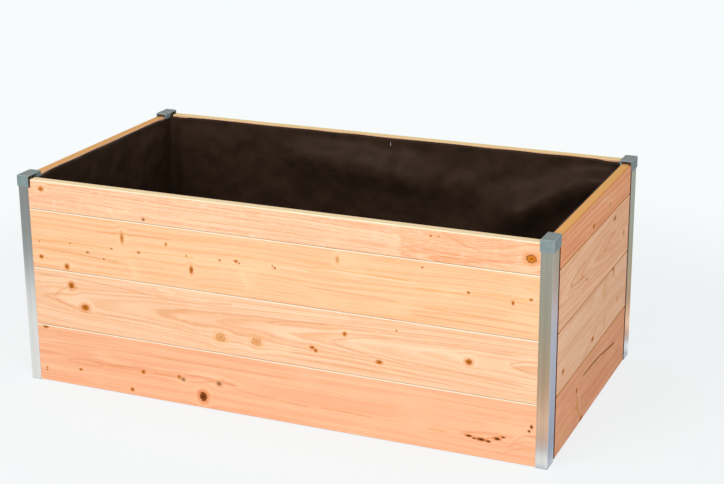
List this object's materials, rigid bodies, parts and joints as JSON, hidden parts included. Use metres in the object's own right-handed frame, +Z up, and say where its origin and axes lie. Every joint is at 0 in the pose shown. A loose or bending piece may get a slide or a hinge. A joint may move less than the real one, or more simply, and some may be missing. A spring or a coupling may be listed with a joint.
{
  "type": "raised garden bed",
  "caption": "Rectangular raised garden bed: tongued and grooved timber boards stacked between metal corner posts with grey caps, open at top and bottom, lined with brown felt.",
  "frame": {"origin": "on the ground, at the middle of the bed's footprint", "axes": "+X along the bed to the right as seen from the front, +Y across it towards the back, +Z up"},
  "size_m": [1.8058, 0.9698, 0.711],
  "materials": {
    "timber": "planed larch with knots, untreated",
    "posts": "extruded, lightly brushed along its length",
    "caps": "moulded, satin grey",
    "liner": "thin dark brown non-woven felt, creased",
    "fasteners": "plain bright steel"
  },
  "bodies": {
    "root": {"front_board_bottom": "timber", "front_screw_bottom_left": "fasteners", "front_screw_bottom_right": "fasteners", "front_board_lower": "timber", "front_screw_lower_left": "fasteners", "front_screw_lower_right": "fasteners", "front_board_upper": "timber", "front_screw_upper_left": "fasteners", "front_screw_upper_right": "fasteners", "front_board_top": "timber", "front_screw_top_left": "fasteners", "front_screw_top_right": "fasteners", "right_board_bottom": "timber", "right_screw_bottom_left": "fasteners", "right_screw_bottom_right": "fasteners", "right_board_lower": "timber", "right_screw_lower_left": "fasteners", "right_screw_lower_right": "fasteners", "right_board_upper": "timber", "right_screw_upper_left": "fasteners", "right_screw_upper_right": "fasteners", "right_board_top": "timber", "right_screw_top_left": "fasteners", "right_screw_top_right": "fasteners", "back_board_bottom": "timber", "back_screw_bottom_left": "fasteners", "back_screw_bottom_right": "fasteners", "back_board_lower": "timber", "back_screw_lower_left": "fasteners", "back_screw_lower_right": "fasteners", "back_board_upper": "timber", "back_screw_upper_left": "fasteners", "back_screw_upper_right": "fasteners", "back_board_top": "timber", "back_screw_top_left": "fasteners", "back_screw_top_right": "fasteners", "left_board_bottom": "timber", "left_screw_bottom_left": "fasteners", "left_screw_bottom_right": "fasteners", "left_board_lower": "timber", "left_screw_lower_left": "fasteners", "left_screw_lower_right": "fasteners", "left_board_upper": "timber", "left_screw_upper_left": "fasteners", "left_screw_upper_right": "fasteners", "left_board_top": "timber", "left_screw_top_left": "fasteners", "left_screw_top_right": "fasteners", "front_left_post": "posts", "front_left_post_cap": "caps", "front_right_post": "posts", "front_right_post_cap": "caps", "back_right_post": "posts", "back_right_post_cap": "caps", "back_left_post": "posts", "back_left_post_cap": "caps", "liner": "liner", "front_liner_staple": "fasteners", "back_liner_staple": "fasteners"}
  },
  "joints": []
}
